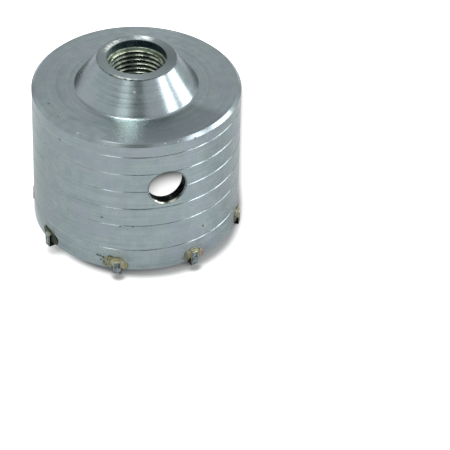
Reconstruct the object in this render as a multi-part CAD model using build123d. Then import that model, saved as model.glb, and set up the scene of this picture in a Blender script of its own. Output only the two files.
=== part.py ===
from build123d import *
import os
from math import cos, radians, sin, tan

os.makedirs("parts", exist_ok=True)

# A hollow core bit for concrete and masonry: a turned steel cup with a conical
# boss and a tapped drive bore, and a ring of hard-metal teeth brazed into
# slots in its rim. Z is the turning axis and points to the drive end. The bit
# stands on its teeth, so z = 0 is the plane of the tooth tips. The window in
# the wall faces -Y. Lengths are in millimetres and angles in degrees.

# Cup
OUTER_DIAMETER = 80.0
WALL_THICKNESS = 4.8
CUP_HEIGHT = 59.5
END_THICKNESS = 9.0
SHOULDER_CHAMFER = 1.2
RIM_CHAMFER = 0.9
INNER_CORNER_CHAMFER = 1.0

# Ring grooves in the outer wall: an evenly spaced run that starts below the
# shoulder, and one by itself above the rim
GROOVE_WIDTH = 0.45
GROOVE_DEPTH = 0.2
GROOVE_PITCH = 8.0
GROOVE_TO_SHOULDER = 5.8
LOW_GROOVE_TO_RIM = 10.0

# Boss, a cone with a flat land round the bore for the shank's collar
BOSS_HEIGHT = 12.1
BOSS_FLANK_ANGLE = 54.75
BOSS_LAND_WIDTH = 3.65
BOSS_EDGE_CHAMFER = 0.4

# Drive bore, left plain at the outer diameter of its screw thread
THREAD_DIAMETER = 22.0
COUNTERBORE_CLEARANCE = 0.5
COUNTERBORE_DEPTH = 3.3
COUNTERBORE_FLOOR_SLOPE = 30.0
BORE_INNER_CHAMFER = 2.0

# Window in the wall, for pushing out a stuck core
WINDOW_DIAMETER = 14.5
WINDOW_TO_FLOOR = 4.65

# Teeth. They were set by hand, so the first and the eighth stand off their even places
TOOTH_COUNT = 8
FIRST_TOOTH_ANGLE = 16.5
TOOTH_SHIFTS = {1: -0.7, 8: 1.0}
TOOTH_WIDTH = 3.0
TOOTH_HEIGHT = 6.2
TOOTH_DROP = 1.1
TOOTH_OUTSTAND = 1.3
TOOTH_INSTAND = 1.1
TOOTH_CORNER_RADIUS = 1.1
TOOTH_CHAMFER = 0.2

# Braze between a tooth and its slot, and where it has run over the wall
BRAZE_GAP = 0.9
BRAZE_RECESS = 0.3
BEAD_RADIUS = 7.0
BEAD_THICKNESS = 0.4
BEAD_REACH = 1.9
BEAD_RISE = 1.2
BEAD_WANDER = 0.5

# Worked out from the sizes above
outer_radius = OUTER_DIAMETER / 2
inner_radius = outer_radius - WALL_THICKNESS
rim_z = TOOTH_DROP
shoulder_z = rim_z + CUP_HEIGHT
floor_z = shoulder_z - END_THICKNESS
boss_z = shoulder_z + BOSS_HEIGHT

thread_radius = THREAD_DIAMETER / 2
counterbore_radius = thread_radius + COUNTERBORE_CLEARANCE
counterbore_z = boss_z - COUNTERBORE_DEPTH
thread_start_z = counterbore_z - COUNTERBORE_CLEARANCE * tan(radians(COUNTERBORE_FLOOR_SLOPE))
boss_top_radius = counterbore_radius + BOSS_LAND_WIDTH
boss_base_radius = boss_top_radius + BOSS_HEIGHT / tan(radians(BOSS_FLANK_ANGLE))

window_z = floor_z - WINDOW_TO_FLOOR - WINDOW_DIAMETER / 2

tooth_angles = [FIRST_TOOTH_ANGLE + 360 / TOOTH_COUNT * i for i in range(TOOTH_COUNT)]
for tooth, shift in TOOTH_SHIFTS.items():
    tooth_angles[tooth - 1] += shift
tooth_inner_radius = inner_radius - TOOTH_INSTAND
tooth_outer_radius = outer_radius + TOOTH_OUTSTAND
tooth_corner_radius = min(TOOTH_CORNER_RADIUS, 0.45 * TOOTH_WIDTH)
slot_width = TOOTH_WIDTH + 2 * BRAZE_GAP
slot_top_z = TOOTH_HEIGHT + BRAZE_GAP
slot_corner_radius = tooth_corner_radius + BRAZE_GAP
braze_z = rim_z + RIM_CHAMFER + BRAZE_RECESS

# Cuts through the wall run from well inside it to well outside it
cut_inner_radius = inner_radius - 2 * WALL_THICKNESS
cut_outer_radius = outer_radius + 2 * WALL_THICKNESS


def groove_heights():
    """Heights of the ring grooves: the lone one, then the even run from the bottom up."""
    low = rim_z + LOW_GROOVE_TO_RIM
    run = [shoulder_z - GROOVE_TO_SHOULDER]
    while run[-1] - 2 * GROOVE_PITCH > low:
        run.append(run[-1] - GROOVE_PITCH)
    return [low] + run[::-1]


def facing_plane(angle, distance):
    """Upright plane that looks outwards, at an angle round Z from -Y, with its own y along Z."""
    turn = radians(angle)
    return Plane(
        origin=(distance * sin(turn), -distance * cos(turn), 0),
        x_dir=(cos(turn), sin(turn), 0),
        z_dir=(sin(turn), -cos(turn), 0),
    )


def radial_prism(profile, angle, inner, outer):
    """A flat profile pushed straight out from one radius to another."""
    return extrude(facing_plane(angle, inner) * profile, amount=outer - inner)


def ring(inner, outer, bottom, top):
    """A plain ring about Z."""
    return Pos(0, 0, bottom) * extrude(Circle(outer) - Circle(inner), amount=top - bottom)


def arched_profile(width, bottom, top, corner_radius):
    """Upright oblong with round upper corners, the outline of a tooth and of its slot."""
    corners = [(-width / 2, bottom), (width / 2, bottom), (width / 2, top), (-width / 2, top)]
    return make_face(FilletPolyline(corners, radius=[0, 0, corner_radius, corner_radius], close=True))


def tooth_profile():
    """Tooth seen from outside, standing on its tip."""
    return arched_profile(TOOTH_WIDTH, 0, TOOTH_HEIGHT, tooth_corner_radius)


def slot_profile():
    """Slot seen from outside, open below, with an even braze gap round the tooth."""
    return arched_profile(slot_width, -TOOTH_HEIGHT, slot_top_z, slot_corner_radius)


def body_outline():
    """Half section of the turned body as (radius, height), from the rim up the outside."""
    flank = radians(BOSS_FLANK_ANGLE)
    corners = [
        (inner_radius + RIM_CHAMFER, rim_z),
        (outer_radius - RIM_CHAMFER, rim_z),
        (outer_radius, rim_z + RIM_CHAMFER),
    ]
    for height in groove_heights():
        corners += [
            (outer_radius, height - GROOVE_WIDTH / 2),
            (outer_radius - GROOVE_DEPTH, height),
            (outer_radius, height + GROOVE_WIDTH / 2),
        ]
    corners += [
        (outer_radius, shoulder_z - SHOULDER_CHAMFER),
        (outer_radius - SHOULDER_CHAMFER, shoulder_z),
        (boss_base_radius, shoulder_z),
        (boss_top_radius + BOSS_EDGE_CHAMFER * cos(flank), boss_z - BOSS_EDGE_CHAMFER * sin(flank)),
        (boss_top_radius - BOSS_EDGE_CHAMFER, boss_z),
        (counterbore_radius, boss_z),
        (counterbore_radius, counterbore_z),
        (thread_radius, thread_start_z),
        (thread_radius, floor_z + BORE_INNER_CHAMFER),
        (thread_radius + BORE_INNER_CHAMFER, floor_z),
        (inner_radius - INNER_CORNER_CHAMFER, floor_z),
        (inner_radius, floor_z - INNER_CORNER_CHAMFER),
        (inner_radius, rim_z + RIM_CHAMFER),
    ]
    return corners


def make_body():
    """Turned cup and boss, with the window drilled and the tooth slots milled."""
    body = revolve(Plane.XZ * make_face(Polyline(body_outline(), close=True)), Axis.Z)
    window = Pos(0, window_z) * Circle(WINDOW_DIAMETER / 2)
    body -= radial_prism(window, 0, cut_inner_radius, cut_outer_radius)
    for angle in tooth_angles:
        body -= radial_prism(slot_profile(), angle, cut_inner_radius, cut_outer_radius)
    return body


def make_tooth(angle):
    """One hard-metal block, standing proud of the wall inside, outside and below."""
    block = radial_prism(tooth_profile(), angle, tooth_inner_radius, tooth_outer_radius)
    ends = block.faces().filter_by(facing_plane(angle, 0))
    tip = block.faces().sort_by(Axis.Z)[0]
    return chamfer(ShapeList(set(ends.edges() + tip.edges())), TOOTH_CHAMFER)


def uneven(number):
    """Shift of a bead from its even place, up to BEAD_WANDER either way and in no visible order."""
    return BEAD_WANDER * sin(number * number)


def make_braze(angle, index):
    """Filler in one slot, and the flat beads that ran from it over the outer wall."""
    top = slot_top_z + BEAD_RADIUS
    filler = radial_prism(slot_profile(), angle, cut_inner_radius, cut_outer_radius)
    filler &= ring(inner_radius, outer_radius, braze_z, top)
    outside = ring(outer_radius, tooth_outer_radius, braze_z, top)
    middle = (rim_z + TOOTH_HEIGHT) / 2
    bead_places = [(-BEAD_REACH, middle + BEAD_RISE), (BEAD_REACH, middle), (0, TOOTH_HEIGHT - BRAZE_GAP)]
    centre = facing_plane(angle, outer_radius + BEAD_THICKNESS - BEAD_RADIUS)
    for place, (across, height) in enumerate(bead_places):
        number = 2 * (len(bead_places) * index + place)
        bead = Pos(across + uneven(number), height + uneven(number + 1)) * Rot(X=90) * Sphere(BEAD_RADIUS)
        filler += (centre * bead) & outside
    return filler - radial_prism(tooth_profile(), angle, tooth_inner_radius, tooth_outer_radius)


export_step(make_body(), "parts/body.step")
for number, angle in enumerate(tooth_angles, start=1):
    export_step(make_tooth(angle), f"parts/carbide_tooth_{number}.step")
    export_step(make_braze(angle, number), f"parts/braze_{number}.step")
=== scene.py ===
from collections import namedtuple
from math import cos, exp, pi, radians, sin

import bmesh
import bpy
from bpy.props import FloatProperty, FloatVectorProperty, IntProperty, PointerProperty
from mathutils import Matrix, Vector, noise


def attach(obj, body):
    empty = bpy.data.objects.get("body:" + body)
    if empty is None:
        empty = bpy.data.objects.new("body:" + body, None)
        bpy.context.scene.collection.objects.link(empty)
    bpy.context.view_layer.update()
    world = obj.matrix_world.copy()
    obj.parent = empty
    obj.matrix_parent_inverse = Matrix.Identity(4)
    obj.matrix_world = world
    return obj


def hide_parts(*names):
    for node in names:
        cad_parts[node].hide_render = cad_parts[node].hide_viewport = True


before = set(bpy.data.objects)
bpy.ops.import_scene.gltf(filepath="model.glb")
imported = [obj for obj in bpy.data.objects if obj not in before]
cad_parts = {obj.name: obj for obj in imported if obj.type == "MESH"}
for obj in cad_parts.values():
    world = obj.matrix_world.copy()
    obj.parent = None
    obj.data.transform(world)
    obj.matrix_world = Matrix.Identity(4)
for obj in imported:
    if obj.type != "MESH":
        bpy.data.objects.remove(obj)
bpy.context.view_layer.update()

bl_info = {
    "name": "Concrete core bit",
    "version": (1, 0, 0),
    "blender": (4, 5, 0),
    "location": "3D View > Sidebar > Core bit",
    "description": "Finishes a brazed core bit: turned steel, screw thread, hard-metal teeth and braze",
    "category": "Object",
}

# Z is the turning axis, the tooth tips stand on z = 0 and the window faces -Y.
# Angles round Z start at -Y and grow towards +X. These are the solids' own sizes.
MM = 0.001
RIM_HEIGHT = 1.1 * MM
WALL_RADIUS = 40 * MM
THREAD_ROOT_RADIUS = 11 * MM
THREAD_BOTTOM = 53.6 * MM
THREAD_TOP = 69.11 * MM
FIRST_TOOTH_ANGLE = 16.5
TOOTH_COUNT = 8
# The two teeth that stand off their even places, as (even angle, shift) in degrees
TOOTH_SHIFTS = ((16.5, -0.7), (-28.5, 1.0))

# More of their sizes, in millimetres and with heights from the rim up, as the finishes read them
WINDOW_OVER_RIM = 38.6
WINDOW_RADIUS = 7.25
TOOTH_HALF_WIDTH = 1.5
TOOTH_OVER_RIM = 5.1
TOOTH_CORNER = 1.1
SHOULDER_OVER_RIM = 59.5
BOSS_FOOT_RADIUS = 23.7
# The height of the flat shoulder, and single teeth by their angle, as (low, high, blur)
SHOULDER_FACE = (59, 60, 0.2)
DARK_LEFT_TOOTH = (-88, -60, 1)
FRONT_TOOTH = (-45, -10, 1)
RIGHT_TOOTH = (5, 28, 1)


def linear(hex_colour):
    """Linear colour of an sRGB hex value."""
    channels = [int(hex_colour[i:i + 2], 16) / 255 for i in (1, 3, 5)]
    return tuple(c / 12.92 if c <= 0.04045 else ((c + 0.055) / 1.055) ** 2.4 for c in channels)


def colour_property(name, description, hex_colour):
    """A colour that the sidebar shows."""
    return FloatVectorProperty(
        name=name, description=description, default=linear(hex_colour), subtype="COLOR", min=0, max=1
    )


def length_property(name, description, millimetres):
    """A length that the sidebar shows, kept in metres."""
    return FloatProperty(
        name=name, description=description, default=millimetres * MM, subtype="DISTANCE", unit="LENGTH",
        precision=5,
    )


class SteelSettings(bpy.types.PropertyGroup):
    """Turned steel of the cup and boss."""

    bright: colour_property("Bright steel", "Steel between the turning marks", "#a0aeaf")
    dull: colour_property("Dull steel", "Steel in the turning marks and in dull patches", "#8a989c")
    mark_spacing: length_property("Mark spacing", "Distance between the turning marks that show", 0.9)
    mark_depth: length_property("Mark depth", "Depth of the turning marks", 0.004)
    roughness: FloatProperty(
        name="Roughness", description="Roughness of the steel", default=0.26, min=0, max=1
    )


class ThreadSettings(bpy.types.PropertyGroup):
    """Inside thread of the drive bore."""

    pitch: length_property("Pitch", "Rise of the thread in one turn", 2.0)
    crest_radius: length_property("Crest radius", "Radius of the bore between the crests", 9.917)
    crest_width: length_property("Crest width", "Height of the flat crest", 0.5)
    root_width: length_property("Root width", "Height of the ridge where it meets the wall", 1.75)
    lead_in: FloatProperty(
        name="Lead-in", description="Slope of the lead-in cone below the counterbore", default=radians(30),
        subtype="ANGLE",
    )
    steps: IntProperty(name="Steps", description="Straight steps in one turn", default=96, min=12)


class ToothSettings(bpy.types.PropertyGroup):
    """Hard-metal teeth."""

    ground: colour_property("Ground face", "Hard metal where it is clean", "#a6b1b5")
    burnt: colour_property("Burnt face", "Hard metal that the flame has darkened", "#465054")
    grain: length_property("Grain", "Size of the pressed grain, drawn coarser than the real one", 0.5)


class BrazeSettings(bpy.types.PropertyGroup):
    """Brass braze round the teeth."""

    # The bright line is a painted highlight along the tooth
    bright: colour_property("Bright line", "Brass that drew up against the tooth", "#d2d1ae")
    gold: colour_property("Clean brass", "Brass where the flux left it clean", "#bdb894")
    olive: colour_property("Tarnished brass", "Brass under a thin oxide", "#888a69")
    dark: colour_property("Burnt edge", "Burnt flux along the edges", "#4b4d42")
    red: colour_property("Copper red", "Brass that lost its zinc in the flame", "#b28f7c")
    voxel: length_property("Voxel", "Size of the cells that the surface is rebuilt from", 0.2)
    unevenness: length_property("Unevenness", "Height of the lumps on the beads", 0.22)


class StageSettings(bpy.types.PropertyGroup):
    """Camera, floor and light."""

    camera_distance: length_property("Camera distance", "Level distance from the bit's axis", 797.8)
    camera_height: length_property("Camera height", "Height of the camera over the floor", 617.66)
    camera_angle: FloatProperty(
        name="Camera angle", description="Place of the camera round the bit", default=radians(-17.2),
        subtype="ANGLE",
    )
    camera_pan: FloatProperty(
        name="Camera pan", description="Turn of the view away from the bit's axis", default=radians(2.528),
        subtype="ANGLE",
    )
    camera_tilt: FloatProperty(
        name="Camera tilt", description="Downward tilt of the view", default=radians(38.07), subtype="ANGLE"
    )
    camera_roll: FloatProperty(
        name="Camera roll", description="Turn of the picture", default=radians(1.667), subtype="ANGLE"
    )
    lens: FloatProperty(name="Lens", description="Focal length in millimetres", default=204.32, min=1)
    floor: colour_property("Floor", "Colour of the floor", "#e8e8e8")
    world: FloatProperty(name="World light", description="Light from all round", default=0.33, min=0)


def set_inputs(tree, node, inputs):
    """Give each named socket of a node a constant, a node's first output or an output."""
    for socket, value in inputs.items():
        if isinstance(value, bpy.types.Node):
            value = value.outputs[0]
        if isinstance(value, bpy.types.NodeSocket):
            tree.links.new(value, node.inputs[socket])
        else:
            node.inputs[socket].default_value = value


def add_node(tree, kind, inputs=None, **settings):
    """Add a node with its settings and inputs. A kind without a family's name in front is a shader node."""
    if not kind.startswith(("GeometryNode", "NodeGroup")):
        kind = "ShaderNode" + kind
    node = tree.nodes.new(kind)
    for name, value in settings.items():
        setattr(node, name, value)
    set_inputs(tree, node, inputs or {})
    return node


def blank_material(name):
    """A new node material with its shader and output joined."""
    material = bpy.data.materials.new(name)
    material.use_nodes = True
    material.node_tree.nodes.clear()
    shader = add_node(material.node_tree, "BsdfPrincipled")
    add_node(material.node_tree, "OutputMaterial", {"Surface": shader})
    return material, material.node_tree, shader


def mixed_colour(tree, factor, first, second):
    """Colour from the first to the second, each of them a hex value, a linear colour or an output."""
    ends = {0: factor}
    for socket, end in ((6, first), (7, second)):
        if isinstance(end, str):
            end = linear(end)
        ends[socket] = end if isinstance(end, (bpy.types.Node, bpy.types.NodeSocket)) else (*end, 1)
    return add_node(tree, "Mix", ends, data_type="RGBA").outputs[2]


def between(tree, value, low, high, blur):
    """Mask that is 1 where a value lies between two limits and 0 elsewhere."""
    above = add_node(tree, "MapRange", {0: value, 1: low - blur, 2: low + blur, 3: 0.0, 4: 1.0})
    below = add_node(tree, "MapRange", {0: value, 1: high - blur, 2: high + blur, 3: 1.0, 4: 0.0})
    return add_node(tree, "Math", {0: above, 1: below}, operation="MULTIPLY")


def overlap(tree, first, *others):
    """Mask of where several masks overlap, which is their product. A number among them is a share."""
    for other in others:
        first = add_node(tree, "Math", {0: first, 1: other}, operation="MULTIPLY")
    return first


def zone(tree, spot, **limits):
    """Mask of a zone of the bit. Each limit names a part of the spot and gives low, high and blur."""
    return overlap(tree, *(between(tree, getattr(spot, part), *limit) for part, limit in limits.items()))


def graded(tree, mask, outside, inside):
    """Value that is one number outside a mask and another inside it."""
    change = inside - outside
    return add_node(tree, "Math", {0: mask, 1: change, 2: outside}, operation="MULTIPLY_ADD")


def stained(tree, colour, stain, *masks):
    """A colour with a stain over it where all the masks overlap."""
    return mixed_colour(tree, overlap(tree, *masks), colour, stain)


# Where a point of the bit lies: millimetres with heights from the rim up, and an angle in degrees
Spot = namedtuple("Spot", "place x y z radius angle")


def place_in_millimetres(tree):
    """The spot that is being shaded."""
    place = add_node(tree, "TexCoord").outputs["Object"]
    place = add_node(tree, "VectorMath", {0: place, 1: (0, 0, RIM_HEIGHT)}, operation="SUBTRACT")
    place = add_node(tree, "VectorMath", {0: place, 3: 1 / MM}, operation="SCALE").outputs[0]
    x, y, z = add_node(tree, "SeparateXYZ", {0: place}).outputs
    level = add_node(tree, "VectorMath", {0: place, 1: (1, 1, 0)}, operation="MULTIPLY")
    radius = add_node(tree, "VectorMath", {0: level}, operation="LENGTH").outputs[1]
    away = add_node(tree, "Math", {0: y, 1: -1}, operation="MULTIPLY")
    angle = add_node(tree, "Math", {0: x, 1: away}, operation="ARCTAN2")
    angle = add_node(tree, "Math", {0: angle}, operation="DEGREES").outputs[0]
    return Spot(place, x, y, z, radius, angle)


def turning_marks(tree, spot, spacing):
    """Broken rings that the lathe tool left, from 0 to 1, on walls and on faces alike."""
    climb = add_node(tree, "Math", {0: spot.z, 1: spot.radius}, operation="SUBTRACT")
    climb = add_node(tree, "Math", {0: climb, 1: 0.5 * MM / spacing}, operation="MULTIPLY")
    # Across the marks the pattern is far finer than along them
    x, y = (
        add_node(tree, "Math", {0: part, 1: 0.012}, operation="MULTIPLY") for part in (spot.x, spot.y)
    )
    stretched = add_node(tree, "CombineXYZ", {0: x, 1: y, 2: climb})
    return add_node(tree, "TexNoise", {0: stretched, 2: 2.0, 3: 3.0, 4: 0.62}).outputs[0]


def from_tooth(tree, spot):
    """Millimetres along the rim from the nearest tooth's middle, growing to its right seen from outside."""
    half = 180 / TOOTH_COUNT
    middle = add_node(
        tree, "Math", {0: spot.angle, 1: FIRST_TOOTH_ANGLE + half, 2: FIRST_TOOTH_ANGLE - half},
        operation="WRAP",
    )
    turn = add_node(tree, "Math", {0: middle, 1: FIRST_TOOTH_ANGLE}, operation="SUBTRACT")
    for even, shift in TOOTH_SHIFTS:
        near = between(tree, spot.angle, even - half, even + half, 0.1)
        turn = add_node(tree, "Math", {0: near, 1: -shift, 2: turn}, operation="MULTIPLY_ADD")
    turn = add_node(tree, "Math", {0: turn}, operation="RADIANS")
    return add_node(tree, "Math", {0: turn, 1: spot.radius}, operation="MULTIPLY")


def arch_round_tooth(tree, spot, across):
    """Millimetres outwards from the rounded outline of the nearest tooth."""
    side = add_node(tree, "Math", {0: across}, operation="ABSOLUTE")
    reach = []
    for part, straight in ((side, TOOTH_HALF_WIDTH - TOOTH_CORNER), (spot.z, TOOTH_OVER_RIM - TOOTH_CORNER)):
        part = add_node(tree, "Math", {0: part, 1: straight}, operation="SUBTRACT")
        reach.append(add_node(tree, "Math", {0: part, 1: 0.0}, operation="MAXIMUM"))
    gap = add_node(tree, "CombineXYZ", {0: reach[0], 1: reach[1]})
    gap = add_node(tree, "VectorMath", {0: gap}, operation="LENGTH").outputs[1]
    return add_node(tree, "Math", {0: gap, 1: TOOTH_CORNER}, operation="SUBTRACT")


def from_window(tree, spot):
    """Millimetres over the window's middle, and outwards from its axis."""
    over = add_node(tree, "Math", {0: spot.z, 1: WINDOW_OVER_RIM}, operation="SUBTRACT")
    aside = add_node(tree, "CombineXYZ", {0: spot.x, 1: over})
    return over, add_node(tree, "VectorMath", {0: aside}, operation="LENGTH").outputs[1]


# Nicks and specks on the steel, and painted glints, as (x, y, z, size) in millimetres
DARK_SPECKS = (
    (-35.5, -3.1, 59.5, 0.55), (-34.4, -12.4, 59.5, 0.45), (-35.5, -18.4, 53.4, 0.5),
    (-23.6, -32.3, 24.4, 0.6), (-17.5, -36.0, 21.3, 0.5), (-13.0, -37.8, 21.3, 0.5),
    (15.2, -37.0, 14.9, 0.7), (10.8, -38.5, 58.3, 0.6),
    (-25.1, -31.2, 5.8, 0.75), (-24.3, -31.8, 5.6, 0.7), (-23.3, -32.5, 5.2, 0.8), (-24.0, -32.0, 3.8, 0.6),
    (-23.0, -32.7, 3.1, 0.7), (-22.3, -33.2, 1.8, 0.6), (7.5, -39.3, 4.7, 0.6), (6.4, -39.5, 2.6, 0.5),
)
FLUX_SPOTS = (
    (-22.6, -33.0, 4.7, 1.5), (-22.8, -32.8, 2.4, 1.2), (-21.6, -33.7, 1.4, 1.1), (-21.2, -33.9, 4.9, 1.3),
)
PAINTED_GLINTS = (
    (-30.2, -24.5, 59.4, 0.42), (-1.0, -39.4, 59.0, 0.4), (4.0, -39.4, 58.7, 0.35),
    (-6.0, -16.8, 67.8, 0.7), (-3.6, -22.5, 61.4, 0.4), (-3.4, -21.6, 62.7, 0.35),
)


def speck_mask(tree, spot, specks):
    """1 on the specks and 0 elsewhere, with a ragged edge."""
    ragged = add_node(tree, "TexNoise", {0: spot.place, 2: 2.6, 3: 2.0}).outputs[1]
    ragged = add_node(tree, "VectorMath", {0: ragged, 1: (-0.5, -0.5, -0.5)}, operation="ADD")
    place = add_node(
        tree, "VectorMath", {0: ragged, 1: (1.1, 1.1, 1.1), 2: spot.place}, operation="MULTIPLY_ADD"
    )
    mask = 0.0
    for x, y, z, size in specks:
        gap = add_node(tree, "VectorMath", {0: place, 1: (x, y, z)}, operation="DISTANCE").outputs[1]
        speck = add_node(
            tree, "MapRange", {0: gap, 1: 0.45 * size, 2: size, 3: 1.0, 4: 0.0},
            interpolation_type="SMOOTHSTEP",
        )
        mask = add_node(tree, "Math", {0: speck, 1: mask}, operation="MAXIMUM")
    return mask


def rounding(tree, along, along_at, across, across_at, reach, height):
    """Height that bends the surface round a sharp ring: up in an inside corner, down on an edge."""
    one = add_node(tree, "Math", {0: along, 1: along_at}, operation="SUBTRACT")
    two = add_node(tree, "Math", {0: across, 1: across_at}, operation="SUBTRACT")
    gap = add_node(tree, "CombineXYZ", {0: one, 1: two})
    gap = add_node(tree, "VectorMath", {0: gap}, operation="LENGTH").outputs[1]
    near = add_node(tree, "MapRange", {0: gap, 1: 0.0, 2: reach, 3: 1.0, 4: 0.0})
    near = add_node(tree, "Math", {0: near, 1: 2.0}, operation="POWER")
    return add_node(tree, "Math", {0: near, 1: height}, operation="MULTIPLY")


def bare_steel(tree, spot, steel, marks, mottle):
    """Steel that is duller in the turning marks, with a thin oxide here and there."""
    tone = add_node(tree, "Math", {0: marks, 1: mottle}, operation="ADD")
    tone = add_node(tree, "MapRange", {0: tone, 1: 0.7, 2: 1.3, 3: 0.0, 4: 1.0})
    colour = mixed_colour(tree, tone, steel.dull, steel.bright)
    # The oxide tints it lilac in patches as wide as a thumb
    lilac = add_node(tree, "TexNoise", {0: spot.place, 2: 0.07, 3: 2.0, 4: 0.5}).outputs[0]
    lilac = add_node(tree, "MapRange", {0: lilac, 1: 0.48, 2: 0.6, 3: 0.0, 4: 0.35})
    return stained(tree, colour, "#9a9fad", lilac)


def inside_shade_and_highlights(tree, spot, colour, marks, highlight_strength, lead_in):
    """Darker metal inside the cup, painted shade in the bore, and painted highlights on the thread and the
    lead-in.
    """
    # Darker metal inside the cup, and painted shade of the same colour in the bore
    in_cup = zone(tree, spot, radius=(-1, 35.6, 0.2), z=(1.1, 51.0, 0.2))
    in_bore = zone(tree, spot, radius=(-1, 11.65, 0.1), z=(51.0, 71.3, 0.15))
    dark_inside = add_node(tree, "Math", {0: in_bore, 1: in_cup}, operation="MAXIMUM")
    colour = stained(tree, colour, "#4a554c", dark_inside, 0.75)
    # The counterbore over the thread gets a lighter, bluer painted shade
    colour = stained(tree, colour, "#5e7481", zone(tree, spot, z=(68.4, 71.3, 0.1)), in_bore)
    # Painted highlights on the thread's crests at the back of the bore, strongest at two sides and faint in a
    # strip between them
    crest = add_node(tree, "MapRange", {0: spot.radius, 1: 10.45, 2: 10.75, 3: 1.0, 4: 0.0})
    all_round = add_node(tree, "Math", {0: spot.angle, 1: 350, 2: -10}, operation="WRAP")
    clean = graded(tree, between(tree, all_round, 164, 187, 4), 1.0, 0.15)
    facing = graded(tree, between(tree, all_round, 112, 208, 9), 0.3, 1.0)
    colour = stained(tree, colour, "#dfeed6", crest, highlight_strength, clean, facing, in_bore)
    # The lead-in cone above the thread is dark and greenish, with painted highlights in streaks along the
    # turning marks and along both its edges
    streaks = add_node(tree, "MapRange", {0: marks, 1: 0.44, 2: 0.56, 3: 0.0, 4: 1.0})
    for limits in ((67.2, 67.52, 0.05), (68.2, 68.4, 0.03)):
        edge = between(tree, spot.z, *limits)
        streaks = add_node(tree, "Math", {0: streaks, 1: edge}, operation="MAXIMUM")
    lead_in_colour = mixed_colour(tree, overlap(tree, streaks, highlight_strength), "#5c6a5b", "#dfe7cf")
    return stained(tree, colour, lead_in_colour, lead_in)


def shaded_shoulder(tree, spot, colour, marks):
    """Painted shade and a painted dark reflection on the shoulder, deep tool marks on the cone, and painted
    shade in the corner between them.
    """
    # A painted dark reflection on the shoulder, right of the front
    stain = zone(tree, spot, angle=(-19, 42, 4), radius=(24.5, 39, 0.8), z=SHOULDER_FACE)
    colour = stained(tree, colour, "#5c6769", stain, 0.5)
    # Greenish painted shade beside the dark reflection, which dims the shoulder's reflected highlight,
    # fainter towards the edge
    film = zone(tree, spot, angle=(-34, -20, 5), radius=(25.2, 39.3, 0.5), z=SHOULDER_FACE)
    fainter_outwards = add_node(tree, "MapRange", {0: spot.radius, 1: 28.0, 2: 34.0, 3: 0.6, 4: 0.3})
    colour = stained(tree, colour, "#757c71", film, fainter_outwards)
    # The deeper tool marks show as dark lines on the front of the cone
    on_cone = zone(tree, spot, z=(60.0, 71.0, 0.2), angle=(-48, -9, 6), radius=(15.3, 24, 0.2))
    line = add_node(tree, "MapRange", {0: marks, 1: 0.45, 2: 0.36, 3: 0.0, 4: 0.42})
    colour = stained(tree, colour, "#4f5b5a", line, on_cone)
    # Painted shade on the lower part of the shoulder's chamfer at the left of the front, which dims its
    # highlight
    dull = zone(tree, spot, angle=(-36, -10, 3), z=(58.2, 59.2, 0.1))
    colour = stained(tree, colour, "#58635f", dull, 0.65)
    # Painted shade in the corner at the foot of the boss, most of it at the left and the front
    corner = rounding(tree, spot.radius, BOSS_FOOT_RADIUS + 0.1, spot.z, SHOULDER_OVER_RIM, 1.0, 0.4)
    more_corner_shade = graded(tree, between(tree, spot.angle, -82, 15, 10), 0.2, 1.0)
    return stained(tree, colour, "#565f5e", corner, more_corner_shade)


def land_with_highlights(tree, spot, colour, highlight_strength, land):
    """Land round the bore: dull, with two painted highlights and a gritty edge that carries a painted glint.
    """
    # It is dull all round, least of all at the left
    duller = graded(tree, between(tree, spot.angle, -150, -60, 20), 0.6, 0.22)
    colour = stained(tree, colour, "#6c7778", land, duller)
    # Grit broke the boss's upper edge into dots
    grit = add_node(tree, "TexNoise", {0: spot.place, 2: 1.1, 3: 2.0}).outputs[0]
    glint = add_node(tree, "MapRange", {0: grit, 1: 0.48, 2: 0.56, 3: 0.0, 4: 0.4})
    grit = add_node(tree, "MapRange", {0: grit, 1: 0.42, 2: 0.56, 3: 0.9, 4: 0.0})
    dotted = zone(tree, spot, radius=(14.95, 15.5, 0.05), z=(71.15, 71.7, 0.05), angle=(-65, 5, 10))
    colour = stained(tree, colour, "#4f5b5a", dotted, grit)
    # Two painted highlights on the land, and the share of each that the grit kept
    for low, high, inner, outer, kept in ((-172, -125, 11.6, 13.6, 0.2), (140, 160, 12.0, 14.3, 0.8)):
        painted_highlight = zone(tree, spot, angle=(low, high, 8), radius=(inner, outer, 0.3))
        colour = stained(tree, colour, "#eef4f2", painted_highlight, land, highlight_strength, graded(tree, grit, 1.0, kept))
    # A painted glint on the land's outer edge at the left of the front, broken by the grit
    edge = zone(tree, spot, radius=(14.0, 15.2, 0.2), angle=(-54, -20, 8))
    return stained(tree, colour, "#f1f6e2", glint, edge, land)


def shaded_grooves(tree, spot, colour):
    """Painted shade in the ring grooves, broken here and there so that their glints don't run in one line."""
    in_groove = zone(tree, spot, radius=(38.9, 39.93, 0.03), z=(3.5, 56.5, 0.1))
    broken = add_node(tree, "TexNoise", {0: spot.place, 2: 0.17, 3: 5.0, 4: 0.75}).outputs[0]
    broken = add_node(tree, "MapRange", {0: broken, 1: 0.4, 2: 0.58, 3: 0.85, 4: 0.0})
    colour = stained(tree, colour, "#4b5555", in_groove, broken)
    # To the left of the window they get painted light, the middle ones less
    middle = graded(tree, between(tree, spot.z, 14, 48, 2), 1.0, 0.65)
    colour = stained(tree, colour, "#c3cccc", between(tree, spot.angle, -82, -27, 8), 0.75, in_groove, middle)
    # The darkest painted shade, which ends their glints, is at the far right, and lower down begins further
    # to the front
    darkest_shade = zone(tree, spot, angle=(25.5, 64, 2), z=(12, 26, 1))
    darkest_shade = add_node(
        tree, "Math", {0: darkest_shade, 1: between(tree, spot.angle, 40, 80, 4)}, operation="MAXIMUM"
    )
    return stained(tree, colour, "#465050", darkest_shade, in_groove, 0.88)


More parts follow.
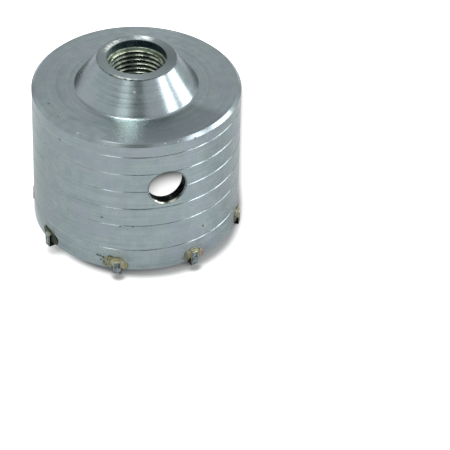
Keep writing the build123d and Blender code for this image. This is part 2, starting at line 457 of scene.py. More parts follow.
def burnt_rim(tree, spot, colour):
    """Heat tint and burnt flux round each tooth, with a ragged edge."""
    arch = arch_round_tooth(tree, spot, from_tooth(tree, spot))
    ragged = add_node(tree, "TexNoise", {0: spot.place, 2: 0.5, 3: 4.0, 4: 0.7}).outputs[0]
    ragged = add_node(tree, "MapRange", {0: ragged, 1: 0.25, 2: 0.75, 3: -3.0, 4: 3.0})
    halo = add_node(tree, "Math", {0: arch, 1: ragged}, operation="ADD")
    tint = add_node(
        tree, "MapRange", {0: halo, 1: 1.8, 2: 4.6, 3: 1.0, 4: 0.0}, interpolation_type="SMOOTHSTEP"
    )
    rim = between(tree, spot.z, -2, 0.8, 0.15)
    burnt = mixed_colour(tree, rim, "#6d6c58", "#4d7f80")
    return stained(tree, colour, burnt, tint, graded(tree, rim, 0.25, 0.7))


def window_edge_light_and_shade(tree, spot, colour, over, aside, front):
    """A darker ring round the window, and painted shade with two painted highlights where the drill tore its
    lower edge.
    """
    # A darker ring round the window
    dark_ring = overlap(
        tree, between(tree, aside, 6.9, 7.85, 0.15), between(tree, spot.y, -41, -30, 1),
        between(tree, over, -4, 9, 2),
    )
    colour = stained(tree, colour, "#566163", dark_ring, 0.6)
    # Painted shade on the hole's torn lower edge, with two painted highlights over it
    torn = overlap(
        tree, between(tree, spot.radius, 38.5, 40.1, 0.3), between(tree, over, -8, -4.5, 0.6),
        between(tree, aside, 6, 7.33, 0.05), front,
    )
    colour = stained(tree, colour, "#4f5a4b", torn)
    for left, right, share in ((-5.3, -1.3, 1.0), (0.9, 3.5, 0.7)):
        colour = stained(tree, colour, "#fffcec", between(tree, spot.x, left, right, 0.4), share, torn)
    return colour


def steel_height(tree, spot, marks, mark_depth, land, pits, aside, front):
    """Height of the steel in millimetres, for what is too shallow for the mesh."""
    height = add_node(tree, "Math", {0: marks, 1: mark_depth}, operation="MULTIPLY")
    # The land is faced slightly hollow, so the collar bears on its outer edge
    hollow = add_node(tree, "Math", {0: spot.radius, 1: 0.16}, operation="MULTIPLY")
    height = add_node(tree, "Math", {0: hollow, 1: land, 2: height}, operation="MULTIPLY_ADD")
    # The upper flanks of the thread are worn a little flatter
    flank = overlap(tree, zone(tree, spot, radius=(5, 11.3, 0.05), z=(51, 67.9, 0.1)), spot.radius)
    height = add_node(tree, "Math", {0: flank, 1: 0.095, 2: height}, operation="MULTIPLY_ADD")
    height = add_node(tree, "Math", {0: pits, 1: -0.02, 2: height}, operation="MULTIPLY_ADD")
    # The corner at the boss's foot is rounded at the front and sharper at the back
    corner = rounding(tree, spot.radius, BOSS_FOOT_RADIUS, spot.z, SHOULDER_OVER_RIM, 0.8, 0.22)
    rounder = graded(tree, between(tree, spot.angle, -80, 58, 10), 0.15, 1.0)
    height = add_node(tree, "Math", {0: rounder, 1: corner, 2: height}, operation="MULTIPLY_ADD")
    # The window's outer edge is worn round
    edge = rounding(tree, aside, WINDOW_RADIUS, spot.radius, WALL_RADIUS / MM, 0.8, -0.25)
    height = add_node(tree, "Math", {0: edge, 1: front, 2: height}, operation="MULTIPLY_ADD")
    # The drill tore the hole's outer end, so it opens out unevenly there
    torn = rounding(tree, aside, WINDOW_RADIUS, spot.radius, WALL_RADIUS / MM, 1.7, -1.3)
    in_hole = add_node(tree, "Math", {0: aside, 1: WINDOW_RADIUS + 0.03}, operation="LESS_THAN")
    uneven = add_node(tree, "TexNoise", {0: spot.place, 2: 0.3, 3: 3.0, 4: 0.6}).outputs[0]
    uneven = add_node(tree, "MapRange", {0: uneven, 1: 0.4, 2: 0.6, 3: 0.55, 4: 1.1})
    torn = overlap(tree, torn, front, in_hole)
    return add_node(tree, "Math", {0: torn, 1: uneven, 2: height}, operation="MULTIPLY_ADD")


def turned_steel(steel):
    """Mild steel turned on a lathe: fine rings that pull each highlight into a band across them."""
    material, tree, shader = blank_material("Turned mild steel")
    spot = place_in_millimetres(tree)
    marks = turning_marks(tree, spot, steel.mark_spacing)
    # Patches a few millimetres wide, where handling and storage dulled the steel
    mottle = add_node(tree, "TexNoise", {0: spot.place, 2: 0.22, 3: 4.0, 4: 0.6}).outputs[0]
    # How strong the painted highlights on edges and crests are, here more and there less
    highlight_strength = add_node(tree, "TexNoise", {0: spot.place, 2: 0.45, 3: 3.0, 4: 0.6}).outputs[0]
    highlight_strength = add_node(tree, "MapRange", {0: highlight_strength, 1: 0.38, 2: 0.56, 3: 0.12, 4: 1.0})
    land = zone(tree, spot, z=(71.35, 75, 0.1))
    lead_in = zone(tree, spot, radius=(-1, 11.45, 0.05), z=(67.3, 68.35, 0.05))
    over, aside = from_window(tree, spot)
    front = add_node(tree, "Math", {0: spot.y, 1: 0.0}, operation="LESS_THAN")
    pits = speck_mask(tree, spot, DARK_SPECKS)
    colour = bare_steel(tree, spot, steel, marks, mottle)
    colour = inside_shade_and_highlights(tree, spot, colour, marks, highlight_strength, lead_in)
    colour = shaded_shoulder(tree, spot, colour, marks)
    colour = land_with_highlights(tree, spot, colour, highlight_strength, land)
    colour = shaded_grooves(tree, spot, colour)
    colour = burnt_rim(tree, spot, colour)
    # Painted shade on the wall round to the left, a little greener
    left = zone(tree, spot, angle=(-125, -80, 8), z=(-3, 54, 6))
    colour = stained(tree, colour, "#7b918f", left, 0.45)
    colour = stained(tree, colour, "#84805a", speck_mask(tree, spot, FLUX_SPOTS), 0.75)
    colour = stained(tree, colour, "#4e5653", pits)
    # Painted glints on the steel
    colour = stained(tree, colour, "#dde2de", speck_mask(tree, spot, PAINTED_GLINTS))
    colour = window_edge_light_and_shade(tree, spot, colour, over, aside, front)
    rough = add_node(
        tree, "MapRange",
        {0: mottle, 1: 0.3, 2: 0.7, 3: steel.roughness - 0.03, 4: steel.roughness + 0.04},
    )
    # The land was faced with a coarser feed, so it glints in a wider fan, and dust roughens the lead-in
    for rougher, more in ((land, 0.17), (lead_in, 0.25)):
        rough = add_node(tree, "Math", {0: rougher, 1: more, 2: rough}, operation="MULTIPLY_ADD")
    round_axis = add_node(tree, "VectorMath", {0: (0, 0, 1), 1: spot.place}, operation="CROSS_PRODUCT")
    round_axis = add_node(tree, "VectorMath", {0: round_axis}, operation="NORMALIZE")
    height = steel_height(tree, spot, marks, steel.mark_depth / MM, land, pits, aside, front)
    bump = add_node(tree, "Bump", {0: 1.0, 1: MM, 3: height})
    set_inputs(tree, shader, {
        "Base Color": colour, "Metallic": 1.0, "Roughness": rough, "Normal": bump,
        "Anisotropic": 0.7, "Anisotropic Rotation": 0.25, "Tangent": round_axis,
    })
    return material


def sintered_hard_metal(tooth):
    """Pressed and sintered tungsten carbide: dark, satin, finely pitted, burnt in patches by the flame."""
    material, tree, shader = blank_material("Sintered tungsten carbide")
    spot = place_in_millimetres(tree)
    dark_tooth = between(tree, spot.angle, *DARK_LEFT_TOOTH)
    grain = add_node(tree, "TexNoise", {0: spot.place, 2: MM / tooth.grain, 3: 4.0, 4: 0.7})
    grain = grain.outputs[0]
    smoky = add_node(tree, "TexNoise", {0: spot.place, 2: 0.75, 3: 2.0, 4: 0.6}).outputs[0]
    burnt = add_node(tree, "MapRange", {0: smoky, 1: 0.38, 2: 0.62, 3: 0.0, 4: 1.0})
    colour = mixed_colour(tree, burnt, tooth.ground, tooth.burnt)
    pale = add_node(tree, "MapRange", {0: grain, 1: 0.58, 2: 0.7, 3: 0.0, 4: 0.45})
    colour = stained(tree, colour, "#a3a69c", pale)
    # Painted shade on the tooth at the right of the front
    colour = stained(tree, colour, tooth.burnt, between(tree, spot.angle, *RIGHT_TOOTH), 0.27)
    # Braze that crept over the tooth's outer shoulder, and a painted highlight along its edges
    patches = add_node(tree, "TexNoise", {0: spot.place, 2: 0.4, 3: 3.0, 4: 0.6}).outputs[0]
    braze_and_edge_highlight = add_node(tree, "Math", {0: patches, 1: 3.0, 2: spot.z}, operation="MULTIPLY_ADD")
    braze_and_edge_highlight = add_node(tree, "MapRange", {0: braze_and_edge_highlight, 1: 5.8, 2: 6.3, 3: 0.0, 4: 0.8})
    braze_and_edge_highlight = add_node(tree, "Math", {0: braze_and_edge_highlight, 1: dark_tooth}, operation="SUBTRACT", use_clamp=True)
    across = from_tooth(tree, spot)
    edge = arch_round_tooth(tree, spot, across)
    edge = add_node(tree, "Math", {0: grain, 1: 0.5, 2: edge}, operation="MULTIPLY_ADD")
    edge = add_node(tree, "MapRange", {0: edge, 1: -0.05, 2: 0.2, 3: 0.0, 4: 0.65})
    edge = overlap(tree, edge, between(tree, spot.z, 0.4, 9, 0.3))
    braze_and_edge_highlight = add_node(tree, "Math", {0: braze_and_edge_highlight, 1: edge}, operation="MAXIMUM")
    colour = stained(tree, colour, "#c0c0a4", braze_and_edge_highlight)
    # Painted shadow blackens the sides of the teeth below the braze, and the whole sides of the darker left
    # tooth
    side = add_node(tree, "Math", {0: across}, operation="ABSOLUTE")
    side = add_node(
        tree, "MapRange",
        {0: side, 1: TOOTH_HALF_WIDTH - 0.1, 2: TOOTH_HALF_WIDTH - 0.03, 3: 0.0, 4: 1.0},
    )
    low = between(tree, spot.z, -2, 2.2, 0.3)
    low = add_node(tree, "Math", {0: dark_tooth, 1: low}, operation="MAXIMUM")
    colour = stained(tree, colour, "#101513", side, low)
    rough = add_node(tree, "MapRange", {0: grain, 1: 0.3, 2: 0.7, 3: 0.42, 4: 0.6})
    bump = add_node(tree, "Bump", {0: 1.0, 1: 0.03 * MM, 3: grain})
    set_inputs(tree, shader, {"Base Color": colour, "Metallic": 1.0, "Roughness": rough, "Normal": bump})
    return material


def torch_braze(braze):
    """Brass run in by torch: rippled round the tooth, gold where clean, olive under oxide, burnt outside."""
    material, tree, shader = blank_material("Torch-brazed brass")
    spot = place_in_millimetres(tree)
    across = from_tooth(tree, spot)
    arch = arch_round_tooth(tree, spot, across)
    clouds = add_node(tree, "TexNoise", {0: spot.place, 2: 0.35, 3: 4.0, 4: 0.6, 8: 0.6}).outputs[0]
    spots = add_node(tree, "TexNoise", {0: spot.place, 2: 0.9, 3: 4.0, 4: 0.65}).outputs[0]
    clean = add_node(tree, "MapRange", {0: clouds, 1: 0.42, 2: 0.62, 3: 0.0, 4: 1.0})
    colour = mixed_colour(tree, clean, braze.olive, braze.gold)
    # Copper red to the right of the teeth, where the flame was held, but not at the front one
    red = add_node(tree, "Math", {0: clouds, 1: 7.0, 2: across}, operation="MULTIPLY_ADD")
    red = add_node(tree, "MapRange", {0: red, 1: 5.2, 2: 7.8, 3: 0.0, 4: 0.6})
    unheated = between(tree, spot.angle, *FRONT_TOOTH)
    red = add_node(tree, "Math", {0: red, 1: unheated}, operation="SUBTRACT", use_clamp=True)
    colour = stained(tree, colour, braze.red, red)
    # Broken ripples about 1 mm apart that follow the tooth, each with oxide in its hollow
    wander = add_node(tree, "Math", {0: spots, 1: 17.0}, operation="MULTIPLY")
    ripple = add_node(tree, "Math", {0: arch, 1: 6.0, 2: wander}, operation="MULTIPLY_ADD")
    ripple = add_node(tree, "Math", {0: ripple}, operation="SINE").outputs[0]
    hollow = add_node(tree, "MapRange", {0: ripple, 1: -0.1, 2: -0.9, 3: 0.0, 4: 0.75})
    smoother = add_node(tree, "MapRange", {0: across, 1: 1.0, 2: 2.0, 3: 1.0, 4: 0.35})
    colour = stained(tree, colour, braze.dark, hollow, smoother)
    # Flux spatter, and a darker flow to the left of each tooth
    spatter = add_node(tree, "TexNoise", {0: spot.place, 2: 2.1, 3: 2.0, 4: 0.6}).outputs[0]
    spatter = add_node(tree, "MapRange", {0: spatter, 1: 0.5, 2: 0.62, 3: 0.0, 4: 0.6})
    colour = stained(tree, colour, braze.dark, spatter)
    left = add_node(tree, "Math", {0: spots, 1: 2.0, 2: across}, operation="MULTIPLY_ADD")
    left = add_node(tree, "MapRange", {0: left, 1: -1.4, 2: -2.8, 3: 0.0, 4: 0.3})
    colour = stained(tree, colour, braze.dark, left)
    # A painted highlight along the line where the filler drew up against the tooth
    line = add_node(tree, "MapRange", {0: arch, 1: 0.25, 2: 0.7, 3: 0.85, 4: 0.0})
    colour = stained(tree, colour, braze.bright, line)
    # Burnt flux where the film is thin, less of it to the right of the teeth
    film = add_node(tree, "Math", {0: spots, 1: 0.35, 2: spot.radius}, operation="MULTIPLY_ADD")
    thin = add_node(tree, "MapRange", {0: film, 1: 40.2, 2: 40.36, 3: 0.85, 4: 0.0})
    cleaner = add_node(tree, "MapRange", {0: across, 1: 1.0, 2: 2.0, 3: 1.0, 4: 0.3})
    colour = stained(tree, colour, braze.dark, thin, cleaner)
    # The braze of the tooth at the right of the front is greyer
    colour = stained(tree, colour, "#a9aeb0", between(tree, spot.angle, *RIGHT_TOOTH), 0.14)
    # The braze of the tooth at the far left is dark
    colour = stained(tree, colour, "#39433e", between(tree, spot.angle, *DARK_LEFT_TOOTH), 0.9)
    rough = add_node(tree, "MapRange", {0: spots, 1: 0.35, 2: 0.65, 3: 0.32, 4: 0.52})
    height = add_node(tree, "Math", {0: ripple, 1: 0.3, 2: spots}, operation="MULTIPLY_ADD")
    bump = add_node(tree, "Bump", {0: 1.0, 1: 0.14 * MM, 3: height})
    set_inputs(tree, shader, {"Base Color": colour, "Metallic": 1.0, "Roughness": rough, "Normal": bump})
    return material


def named_nodes(start):
    """Names of the CAD nodes that start with a word, in order."""
    return sorted(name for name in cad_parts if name.startswith(start))


def dress_node(name, material):
    """Give a CAD node its finish."""
    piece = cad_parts[name]
    if not piece.material_slots:
        piece.data.materials.append(material)
    for slot in piece.material_slots:
        slot.material = material


def finished_mesh(piece):
    """Plain mesh of a piece with its modifiers applied; the piece keeps it and loses them."""
    bpy.context.view_layer.update()
    depsgraph = bpy.context.evaluated_depsgraph_get()
    mesh = bpy.data.meshes.new_from_object(piece.evaluated_get(depsgraph), depsgraph=depsgraph)
    piece.modifiers.clear()
    piece.data = mesh
    return mesh


def thread_tree():
    """Ridge of an inside thread: a flat-topped section swept up a helix, cut back by a cone at each end."""
    tree = bpy.data.node_groups.new("Inside thread", "GeometryNodeTree")
    sizes = ("Pitch", "Root radius", "Crest radius", "Root width", "Crest width")
    sizes += ("Bottom", "Top", "Lead-in", "Turns")
    sockets = [(name, "Float") for name in sizes] + [("Steps", "Int"), ("Material", "Material")]
    for name, kind in sockets:
        tree.interface.new_socket(name, in_out="INPUT", socket_type="NodeSocket" + kind)
    tree.interface.new_socket("Geometry", in_out="OUTPUT", socket_type="NodeSocketGeometry")
    given = add_node(tree, "NodeGroupInput").outputs
    rise = add_node(tree, "Math", {0: given["Turns"], 1: given["Pitch"]}, operation="MULTIPLY")
    helix = add_node(
        tree, "GeometryNodeCurveSpiral",
        {0: given["Steps"], 1: given["Turns"], 2: given["Root radius"], 3: given["Root radius"], 4: rise},
    )
    helix = add_node(tree, "GeometryNodeSetCurveNormal", {0: helix}, mode="Z_UP")
    depth = add_node(
        tree, "Math", {0: given["Root radius"], 1: given["Crest radius"]}, operation="SUBTRACT"
    )
    # The section's corners, from the lower root round to the upper one
    corners = []
    for reach, width, side in (
        (0.0, "Root width", -0.5), (depth, "Crest width", -0.5),
        (depth, "Crest width", 0.5), (0.0, "Root width", 0.5),
    ):
        up = add_node(tree, "Math", {0: given[width], 1: side}, operation="MULTIPLY")
        corners.append(add_node(tree, "CombineXYZ", {0: reach, 1: up, 2: 0.0}))
    section = add_node(
        tree, "GeometryNodeCurvePrimitiveQuadrilateral", dict(enumerate(corners, start=7)), mode="POINTS"
    )
    ridge = add_node(tree, "GeometryNodeCurveToMesh", {0: helix, 1: section, "Fill Caps": True})
    start = add_node(
        tree, "Math", {0: given["Root width"], 1: -0.5, 2: given["Bottom"]}, operation="MULTIPLY_ADD"
    )
    lift = add_node(tree, "CombineXYZ", {0: 0.0, 1: 0.0, 2: start})
    ridge = add_node(tree, "GeometryNodeSetPosition", {0: ridge, "Offset": lift})
    # Heights of the two cones at each point: 45 degrees below, the lead-in's slope above
    place = add_node(tree, "GeometryNodeInputPosition")
    parts = add_node(tree, "SeparateXYZ", {0: place})
    level = add_node(tree, "VectorMath", {0: place, 1: (1, 1, 0)}, operation="MULTIPLY")
    radius = add_node(tree, "VectorMath", {0: level}, operation="LENGTH").outputs[1]
    inwards = add_node(tree, "Math", {0: given["Root radius"], 1: radius}, operation="SUBTRACT")
    low = add_node(tree, "Math", {0: given["Bottom"], 1: inwards}, operation="ADD")
    slope = add_node(tree, "Math", {0: given["Lead-in"]}, operation="TANGENT")
    drop = add_node(tree, "Math", {0: inwards, 1: slope}, operation="MULTIPLY")
    high = add_node(tree, "Math", {0: given["Top"], 1: drop}, operation="SUBTRACT")
    height = add_node(tree, "Math", {0: parts.outputs[2], 1: low}, operation="MAXIMUM")
    height = add_node(tree, "Math", {0: height, 1: high}, operation="MINIMUM")
    cut_back = add_node(tree, "CombineXYZ", {0: parts.outputs[0], 1: parts.outputs[1], 2: height})
    ridge = add_node(tree, "GeometryNodeSetPosition", {0: ridge, "Position": cut_back})
    ridge = add_node(tree, "GeometryNodeRealizeInstances", {0: ridge})
    ridge = add_node(tree, "GeometryNodeSetMaterial", {0: ridge, "Material": given["Material"]})
    add_node(tree, "NodeGroupOutput", {0: ridge})
    return tree


def set_tree_inputs(modifier, values):
    """Give a Geometry Nodes modifier its inputs by the sockets' identifiers."""
    for item in modifier.node_group.interface.items_tree:
        if item.in_out == "INPUT" and item.name in values:
            modifier[item.identifier] = values[item.name]


class CORE_BIT_OT_finish_body(bpy.types.Operator):
    """Give the turned body its steel"""

    bl_idname = "core_bit.finish_body"
    bl_label = "Finish the body"

    def execute(self, context):
        dress_node("body", turned_steel(context.scene.core_bit_steel))
        return {"FINISHED"}


class CORE_BIT_OT_cut_thread(bpy.types.Operator):
    """Add the screw thread's ridge to the drive bore"""

    bl_idname = "core_bit.cut_thread"
    bl_label = "Cut the thread"

    def execute(self, context):
        thread = context.scene.core_bit_thread
        sunk = 0.05 * MM
        height = THREAD_TOP - THREAD_BOTTOM + thread.root_width
        piece = bpy.data.objects.new("drive_thread", bpy.data.meshes.new("drive_thread"))
        context.scene.collection.objects.link(piece)
        modifier = piece.modifiers.new("Thread", "NODES")
        modifier.node_group = thread_tree()
        set_tree_inputs(modifier, {
            "Pitch": thread.pitch, "Turns": height / thread.pitch, "Steps": thread.steps,
            "Root radius": THREAD_ROOT_RADIUS + sunk, "Crest radius": thread.crest_radius,
            "Root width": thread.root_width, "Crest width": thread.crest_width,
            "Bottom": THREAD_BOTTOM, "Top": THREAD_TOP, "Lead-in": thread.lead_in,
            "Material": bpy.data.materials["Turned mild steel"],
        })
        mesh = finished_mesh(piece)
        if not mesh.polygons:
            raise RuntimeError("the thread has no faces")
        mesh.shade_smooth()
        mesh.set_sharp_from_angle(angle=radians(20))
        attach(piece, "root")
        return {"FINISHED"}


class CORE_BIT_OT_finish_teeth(bpy.types.Operator):
    """Give the eight teeth their hard metal"""

    bl_idname = "core_bit.finish_teeth"
    bl_label = "Finish the teeth"

    def execute(self, context):
        material = sintered_hard_metal(context.scene.core_bit_tooth)
        for name in named_nodes("carbide_tooth"):
            dress_node(name, material)
        return {"FINISHED"}


def merged_copy(node, name):
    """New object with a CAD node's mesh, its loose triangles joined."""
    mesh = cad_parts[node].data.copy()
    mesh.materials.clear()
    work = bmesh.new()
    work.from_mesh(mesh)
    bmesh.ops.remove_doubles(work, verts=work.verts, dist=0.002 * MM)
    work.to_mesh(mesh)
    work.free()
    piece = bpy.data.objects.new(name, mesh)
    bpy.context.scene.collection.objects.link(piece)
    return piece


def tooth_angle(number):
    """Place of a tooth round the bit in degrees; they are numbered from 1."""
    even = FIRST_TOOTH_ANGLE + 360 / TOOTH_COUNT * (number - 1)
    return even + sum(shift for angle, shift in TOOTH_SHIFTS if (even - angle) % 360 < 0.01)


def flow_beads(mesh, unevenness, seed):
    """Make the smooth beads on the outer wall uneven, with a wandering outline and a shorter left end."""
    # Each tooth reads the noise in another place
    shift = Vector((seed * 7.3, seed * -3.1, seed * 5.7))
    middle = radians(tooth_angle(seed))
    leftwards = Vector((-cos(middle), -sin(middle), 0))
    # Surface tension swells a film fast at its edge, up to an even thickness
    thickness, swell = 0.42 * MM, 0.13 * MM
    lowest, highest = -0.2 * MM, 0.6 * MM
    for vertex in mesh.vertices:
        outwards = Vector((vertex.co.x, vertex.co.y, 0))
        proud = outwards.length - WALL_RADIUS
        if proud < -0.1 * MM:
            continue
        place = vertex.co / MM
        wander = max(-0.45, noise.noise(place * 0.4 + shift) + 0.5 * noise.noise(place * 1.2 + shift))
        film = proud + unevenness * wander
        film -= 0.3 * max(0, vertex.co.dot(leftwards) - 3.0 * MM)
        if film > 0:
            film = thickness * (1 - exp(-film / swell))
            film += 0.3 * unevenness * noise.noise(place * 1.7 - shift)
        scale = (WALL_RADIUS + max(lowest, min(highest, film))) / outwards.length
        vertex.co.x *= scale
        vertex.co.y *= scale


class CORE_BIT_OT_flow_braze(bpy.types.Operator):
    """Rebuild the braze of each tooth as uneven, run metal"""

    bl_idname = "core_bit.flow_braze"
    bl_label = "Flow the braze"

    def execute(self, context):
        braze = context.scene.core_bit_braze
        material = torch_braze(braze)
        for seed, node in enumerate(named_nodes("braze"), start=1):
            piece = merged_copy(node, node + "_run")
            remesh = piece.modifiers.new("Remesh", "REMESH")
            remesh.mode = "VOXEL"
            remesh.voxel_size = braze.voxel
            mesh = finished_mesh(piece)
            if not mesh.polygons:
                raise RuntimeError(f"{node} has no faces after its remesh")
            flow_beads(mesh, braze.unevenness, seed)
            mesh.shade_smooth()
            mesh.materials.clear()
            mesh.materials.append(material)
            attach(piece, "root")
            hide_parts(node)
        return {"FINISHED"}


def way_round(angle, elevation):
    """Way from the bit's middle towards a place round it, by its angle and elevation in degrees."""
    angle, elevation = radians(angle), radians(elevation)
    level = cos(elevation)
    return Vector((level * sin(angle), -level * cos(angle), sin(elevation)))


# The point that the lamps face
BIT_MIDDLE = Vector((0, 0, 40 * MM))
# Lamps as (name, angle round the bit, elevation, distance, width, height, brightness), in degrees and metres
LAMPS = (
    ("Top box", -140, 81.5, 1.3, 0.50, 0.38, 10.5),
    ("Right box near", 52, 26, 1.3, 0.36, 0.85, 4.6),
    ("Right box far", 84, 22, 1.3, 0.52, 0.80, 4.6),
    ("Left key", -46, 46, 1.4, 0.35, 0.35, 2.6),
)


def hang_lamp(name, angle, elevation, distance, width, height, brightness):
    """A soft box that faces the bit. Brightness is its radiance, where 1 is white."""
    lamp = bpy.data.lights.new(name, "AREA")
    lamp.shape = "RECTANGLE"
    lamp.size = width
    lamp.size_y = height
    lamp.energy = brightness * pi * width * height
    holder = bpy.data.objects.new(name, lamp)
    bpy.context.scene.collection.objects.link(holder)
    way = way_round(angle, elevation)
    facing = (-way).to_track_quat("-Z", "Y").to_matrix().to_4x4()
    holder.matrix_world = Matrix.Translation(BIT_MIDDLE + distance * way) @ facing


def ray_kinds(tree):
    """1 for what a camera sees by itself, and 1 for what it sees mirrored or through glass."""
    rays = add_node(tree, "LightPath").outputs
    mirrored = add_node(
        tree, "Math", {0: rays["Is Glossy Ray"], 1: rays["Is Transmission Ray"]}, operation="MAXIMUM"
    )
    return rays["Is Camera Ray"], mirrored


def light_world(level):
    """White to a camera, a white sweep with a dark camera side to metal, and even light to all the rest."""
    world = bpy.data.worlds.new("Studio")
    world.use_nodes = True
    tree = world.node_tree
    tree.nodes.clear()
    way = add_node(tree, "TexCoord").outputs["Object"]
    parts = add_node(tree, "SeparateXYZ", {0: way})
    sky = add_node(tree, "MapRange", {0: parts.outputs[2], 1: 0.1, 2: 0.6, 3: 1.0, 4: 0.72})
    level_way = add_node(tree, "VectorMath", {0: way, 1: (1, 1, 0)}, operation="MULTIPLY")
    level_way = add_node(tree, "VectorMath", {0: level_way}, operation="NORMALIZE")
    # The room behind the camera is dark up to the ceiling
    near = add_node(tree, "VectorMath", {0: level_way, 1: way_round(-12, 0)}, operation="DOT_PRODUCT")
    near = near.outputs[1]
    dark_side = add_node(
        tree, "MapRange", {0: near, 1: 0.965, 2: 0.993, 3: 1.0, 4: 0.28}, interpolation_type="SMOOTHSTEP"
    )
    ceiling = add_node(
        tree, "MapRange", {0: parts.outputs[2], 1: 0.6, 2: 0.72, 3: 0.0, 4: 1.0},
        interpolation_type="SMOOTHSTEP",
    )
    dark_side = add_node(tree, "Math", {0: dark_side, 1: ceiling}, operation="MAXIMUM")
    seen = overlap(tree, sky, dark_side)
    # Two gaps in the white sweep, as the angle round the bit and how light they are
    for side, least in ((133, 0.45), (-167, 0.25)):
        near = add_node(tree, "VectorMath", {0: way, 1: way_round(side, 16)}, operation="DOT_PRODUCT")
        near = near.outputs[1]
        gap = add_node(
            tree, "MapRange", {0: near, 1: 0.93, 2: 0.975, 3: 1.0, 4: least}, interpolation_type="SMOOTHSTEP"
        )
        seen = overlap(tree, seen, gap)
    from_camera, mirrored = ray_kinds(tree)
    strength = add_node(tree, "Mix", {0: mirrored, 2: level, 3: seen})
    strength = add_node(tree, "Mix", {0: from_camera, 2: strength, 3: 1.0})
    background = add_node(tree, "Background", {0: (1, 1, 1, 1), 1: strength})
    add_node(tree, "OutputWorld", {0: background})
    bpy.context.scene.world = world


# The level way straight back from the photo's camera, where the soft shadow falls, and the way across it
SHADOW_WAY = (0.296, 0.955, 0)
ACROSS_SHADOW = (0.955, -0.296, 0)
# Soft shadows of the three front teeth as (x, y, reach, light left), in millimetres
TOOTH_SHADOWS = ((-18.9, -38.3, 4.6, 0.05), (10.6, -41.0, 4.6, 0.05), (-37.6, -15.5, 6.5, 0.35))


def bit_shadow(tree, spot):
    """Depth of the soft shadow that the bit throws straight back. The photo shows only its edges."""
    back = add_node(tree, "VectorMath", {0: spot.place, 1: SHADOW_WAY}, operation="DOT_PRODUCT")
    aside = add_node(tree, "VectorMath", {0: spot.place, 1: ACROSS_SHADOW}, operation="DOT_PRODUCT")
    aside = add_node(tree, "Math", {0: aside.outputs[1], 1: 1.2}, operation="SUBTRACT")
    aside = add_node(tree, "Math", {0: aside}, operation="ABSOLUTE")
    # It widens as it goes back
    aside = add_node(tree, "Math", {0: back.outputs[1], 1: -0.042, 2: aside}, operation="MULTIPLY_ADD")
    depth = add_node(tree, "MapRange", {0: aside, 1: 38.0, 2: 42.6, 3: 0.85, 4: 0.0})
    return overlap(
        tree, depth, between(tree, back.outputs[1], -4, 88, 8), between(tree, spot.radius, 39, 200, 1)
    )


def floor_paper(colour):
    """Matt studio paper: pale, with the shadow of the bit, and white where nothing shades it."""
    material, tree, shader = blank_material("Matt studio paper")
    spot = place_in_millimetres(tree)
    from_camera, mirrored = ray_kinds(tree)
    lit_by_teeth = 1.0
    for x, y, reach, least in TOOTH_SHADOWS:
        gap = add_node(tree, "VectorMath", {0: spot.place, 1: (x, y, 0)}, operation="DISTANCE").outputs[1]
        light = add_node(
            tree, "MapRange", {0: gap, 1: 1.0, 2: reach, 3: least, 4: 1.0},
            interpolation_type="SMOOTHSTEP",
        )
        lit_by_teeth = overlap(tree, light, lit_by_teeth)
    cast = bit_shadow(tree, spot)
    shade = add_node(tree, "MapRange", {0: spot.radius, 1: 40.5, 2: 45.0, 3: 0.4, 4: 0.0})
    under_teeth = graded(tree, lit_by_teeth, 0.55, 0.0)
    shade = add_node(tree, "Math", {0: shade, 1: under_teeth}, operation="MAXIMUM")
    shade = add_node(tree, "Math", {0: cast, 1: 0.95, 2: shade}, operation="MULTIPLY_ADD", use_clamp=True)
    shaded = stained(tree, colour, "#101012", shade, from_camera)
    # The light that falls down the drive bore onto the floor inside the cup
    gap = add_node(tree, "VectorMath", {0: spot.place, 1: (19, 2, 0)}, operation="DISTANCE").outputs[1]
    pool = add_node(
        tree, "MapRange", {0: gap, 1: 8.0, 2: 19.4, 3: 1.0, 4: 0.0}, interpolation_type="SMOOTHSTEP"
    )
    # The paper's own glow starts just outside the rim, so the shadow stays close to the bit
    gap = add_node(tree, "VectorMath", {0: spot.place, 1: (1.4, -6.8, 0)}, operation="DISTANCE").outputs[1]
    outside = add_node(
        tree, "MapRange", {0: gap, 1: 33.6, 2: 40.8, 3: 0.0, 4: 1.0}, interpolation_type="SMOOTHSTEP"
    )
    outside = overlap(tree, outside, lit_by_teeth, graded(tree, cast, 1.0, 0.0))
    close = add_node(tree, "MapRange", {0: spot.radius, 1: 36.5, 2: 38.0, 3: 0.05, 4: 0.07})
    for other in (close, outside):
        pool = add_node(tree, "Math", {0: pool, 1: other}, operation="MAXIMUM")
    # Metal sees less of the glow, and none at the right, because it also sees the lamps' light on the paper
    mirrored = overlap(tree, mirrored, graded(tree, between(tree, spot.angle, 50, 120, 12), 1.0, 0.0))
    seen = add_node(tree, "Math", {0: mirrored, 1: 0.25, 2: from_camera}, operation="MULTIPLY_ADD")
    glow = overlap(tree, seen, pool)
    # The rim's chamfer sees lit paper right under it
    under = overlap(tree, mirrored, between(tree, spot.radius, 37.5, 42, 1.5))
    glow = add_node(tree, "Math", {0: under, 1: 0.5, 2: glow}, operation="MULTIPLY_ADD")
    set_inputs(tree, shader, {
        "Base Color": shaded, "Roughness": 1.0, "Specular IOR Level": 0.0,
        "Emission Color": (1, 1, 1, 1), "Emission Strength": glow,
    })
    return material


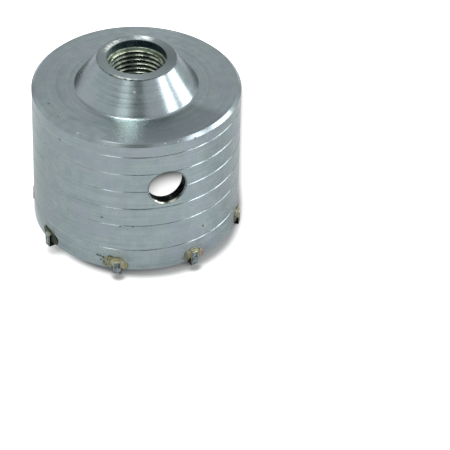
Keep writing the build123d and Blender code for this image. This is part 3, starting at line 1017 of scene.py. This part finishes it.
class CORE_BIT_OT_set_stage(bpy.types.Operator):
    """Lay the floor, hang the lamps and set up the camera"""

    bl_idname = "core_bit.set_stage"
    bl_label = "Set the stage"

    def execute(self, context):
        scene = context.scene
        stage = scene.core_bit_stage
        mesh = bpy.data.meshes.new("floor")
        mesh.from_pydata([(-4, -4, 0), (4, -4, 0), (4, 4, 0), (-4, 4, 0)], [], [(0, 1, 2, 3)])
        floor = bpy.data.objects.new("floor", mesh)
        scene.collection.objects.link(floor)
        mesh.materials.append(floor_paper(stage.floor))
        for lamp in LAMPS:
            hang_lamp(*lamp)
        light_world(stage.world)
        camera = bpy.data.objects.new("Camera", bpy.data.cameras.new("Camera"))
        camera.data.lens = stage.lens
        camera.data.sensor_width = 36
        heading = stage.camera_pan - stage.camera_angle
        level = cos(stage.camera_tilt)
        forwards = Vector((sin(heading) * level, cos(heading) * level, -sin(stage.camera_tilt)))
        upright = forwards.to_track_quat("-Z", "Y").to_matrix().to_4x4()
        place = Vector((
            stage.camera_distance * sin(stage.camera_angle), -stage.camera_distance * cos(stage.camera_angle),
            stage.camera_height,
        ))
        camera.matrix_world = Matrix.Translation(place) @ upright @ Matrix.Rotation(stage.camera_roll, 4, "Z")
        scene.collection.objects.link(camera)
        scene.camera = camera
        scene.view_settings.view_transform = "Standard"
        return {"FINISHED"}


class CORE_BIT_PT_panel(bpy.types.Panel):
    """Sizes, colours and steps of the core bit"""

    bl_label = "Core bit"
    bl_space_type = "VIEW_3D"
    bl_region_type = "UI"
    bl_category = "Core bit"

    def draw(self, context):
        for operator, group in STEPS:
            box = self.layout.box()
            box.operator(operator.bl_idname)
            if group:
                settings = getattr(context.scene, group)
                for name in settings.bl_rna.properties.keys():
                    if name not in ("rna_type", "name"):
                        box.prop(settings, name)


SETTINGS = {
    "core_bit_steel": SteelSettings,
    "core_bit_thread": ThreadSettings,
    "core_bit_tooth": ToothSettings,
    "core_bit_braze": BrazeSettings,
    "core_bit_stage": StageSettings,
}
STEPS = (
    (CORE_BIT_OT_finish_body, "core_bit_steel"),
    (CORE_BIT_OT_cut_thread, "core_bit_thread"),
    (CORE_BIT_OT_finish_teeth, "core_bit_tooth"),
    (CORE_BIT_OT_flow_braze, "core_bit_braze"),
    (CORE_BIT_OT_set_stage, "core_bit_stage"),
)


def register():
    for name, group in SETTINGS.items():
        bpy.utils.register_class(group)
        setattr(bpy.types.Scene, name, PointerProperty(type=group))
    for operator, _ in STEPS:
        bpy.utils.register_class(operator)
    bpy.utils.register_class(CORE_BIT_PT_panel)


def unregister():
    bpy.utils.unregister_class(CORE_BIT_PT_panel)
    for operator, _ in reversed(STEPS):
        bpy.utils.unregister_class(operator)
    for name, group in reversed(SETTINGS.items()):
        delattr(bpy.types.Scene, name)
        bpy.utils.unregister_class(group)


def main():
    register()
    bpy.ops.core_bit.finish_body()
    bpy.ops.core_bit.cut_thread()
    bpy.ops.core_bit.finish_teeth()
    bpy.ops.core_bit.flow_braze()
    bpy.ops.core_bit.set_stage()


if __name__ == "__main__":
    main()
